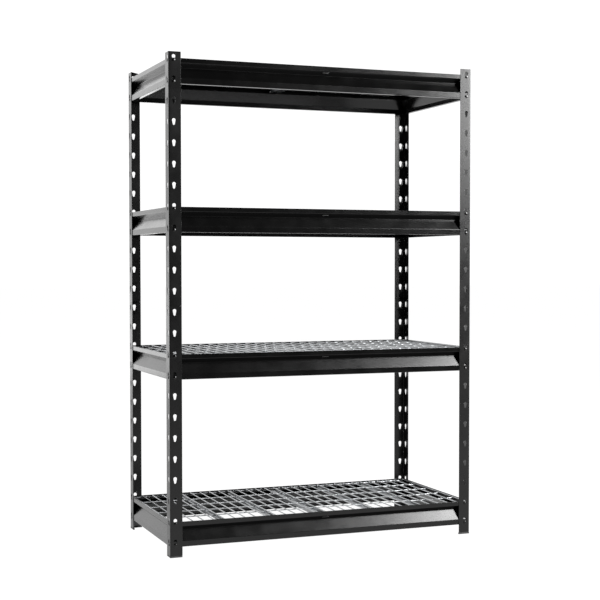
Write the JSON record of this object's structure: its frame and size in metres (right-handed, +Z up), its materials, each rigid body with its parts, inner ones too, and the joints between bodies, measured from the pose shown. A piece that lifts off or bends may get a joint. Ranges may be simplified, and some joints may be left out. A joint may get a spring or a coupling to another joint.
{
  "type": "boltless steel shelving unit",
  "caption": "Free-standing boltless steel shelving: perforated angle posts, riveted beams hooked into keyholes and open welded wire decks, for stacking goods.",
  "frame": {"origin": "on the floor, in the middle of the unit's width and depth", "axes": "+Z up along the posts, +X to the right across the width, -Y out of the front"},
  "size_m": [1.2234, 0.6138, 1.8288],
  "materials": {
    "post_coat": "satin black powder coat with a fine orange-peel texture",
    "beam_coat": "satin black powder coat with a fine orange-peel texture",
    "deck_wire": "bright zinc plate over drawn wire",
    "deck_rib": "zinc-plated sheet steel",
    "support_zinc": "zinc-plated sheet steel, the end flaps and tongues dipped in black paint",
    "splice_coat": "satin black powder coat with a fine orange-peel texture",
    "foot_plastic": "matt black moulded plastic"
  },
  "bodies": {
    "frame": {"post_lower_front_left": "post_coat", "post_lower_front_right": "post_coat", "post_lower_back_right": "post_coat", "post_lower_back_left": "post_coat", "post_upper_front_left": "post_coat", "post_upper_front_right": "post_coat", "post_upper_back_right": "post_coat", "post_upper_back_left": "post_coat", "post_splice_front_left": "splice_coat", "post_splice_front_right": "splice_coat", "post_splice_back_right": "splice_coat", "post_splice_back_left": "splice_coat", "foot_front_left": "foot_plastic", "foot_front_right": "foot_plastic", "foot_back_right": "foot_plastic", "foot_back_left": "foot_plastic", "beam_1_front": "beam_coat", "beam_1_right": "beam_coat", "beam_1_back": "beam_coat", "beam_1_left": "beam_coat", "beam_2_front": "beam_coat", "beam_2_right": "beam_coat", "beam_2_back": "beam_coat", "beam_2_left": "beam_coat", "beam_3_front": "beam_coat", "beam_3_right": "beam_coat", "beam_3_back": "beam_coat", "beam_3_left": "beam_coat", "beam_4_front": "beam_coat", "beam_4_right": "beam_coat", "beam_4_back": "beam_coat", "beam_4_left": "beam_coat", "centre_support_1": "support_zinc", "centre_support_2": "support_zinc", "centre_support_3": "support_zinc", "centre_support_4": "support_zinc"},
    "deck_1": {"deck_1_mesh": "deck_wire", "deck_1_rib_1": "deck_rib", "deck_1_rib_2": "deck_rib", "deck_1_rib_3": "deck_rib", "deck_1_rib_4": "deck_rib"},
    "deck_2": {"deck_2_mesh": "deck_wire", "deck_2_rib_1": "deck_rib", "deck_2_rib_2": "deck_rib", "deck_2_rib_3": "deck_rib", "deck_2_rib_4": "deck_rib"},
    "deck_3": {"deck_3_mesh": "deck_wire", "deck_3_rib_1": "deck_rib", "deck_3_rib_2": "deck_rib", "deck_3_rib_3": "deck_rib", "deck_3_rib_4": "deck_rib"},
    "deck_4": {"deck_4_mesh": "deck_wire", "deck_4_rib_1": "deck_rib", "deck_4_rib_2": "deck_rib", "deck_4_rib_3": "deck_rib", "deck_4_rib_4": "deck_rib"}
  },
  "joints": [
    {"name": "deck_1_lift", "type": "slide", "parent": "frame", "child": "deck_1", "axis": [0, 0, 1], "range_m": [0, 0.5]},
    {"name": "deck_2_lift", "type": "slide", "parent": "frame", "child": "deck_2", "axis": [0, 0, 1], "range_m": [0, 0.43]},
    {"name": "deck_3_lift", "type": "slide", "parent": "frame", "child": "deck_3", "axis": [0, 0, 1], "range_m": [0, 0.43]},
    {"name": "deck_4_lift", "type": "slide", "parent": "frame", "child": "deck_4", "axis": [0, 0, 1], "range_m": [0, 0.43]}
  ]
}
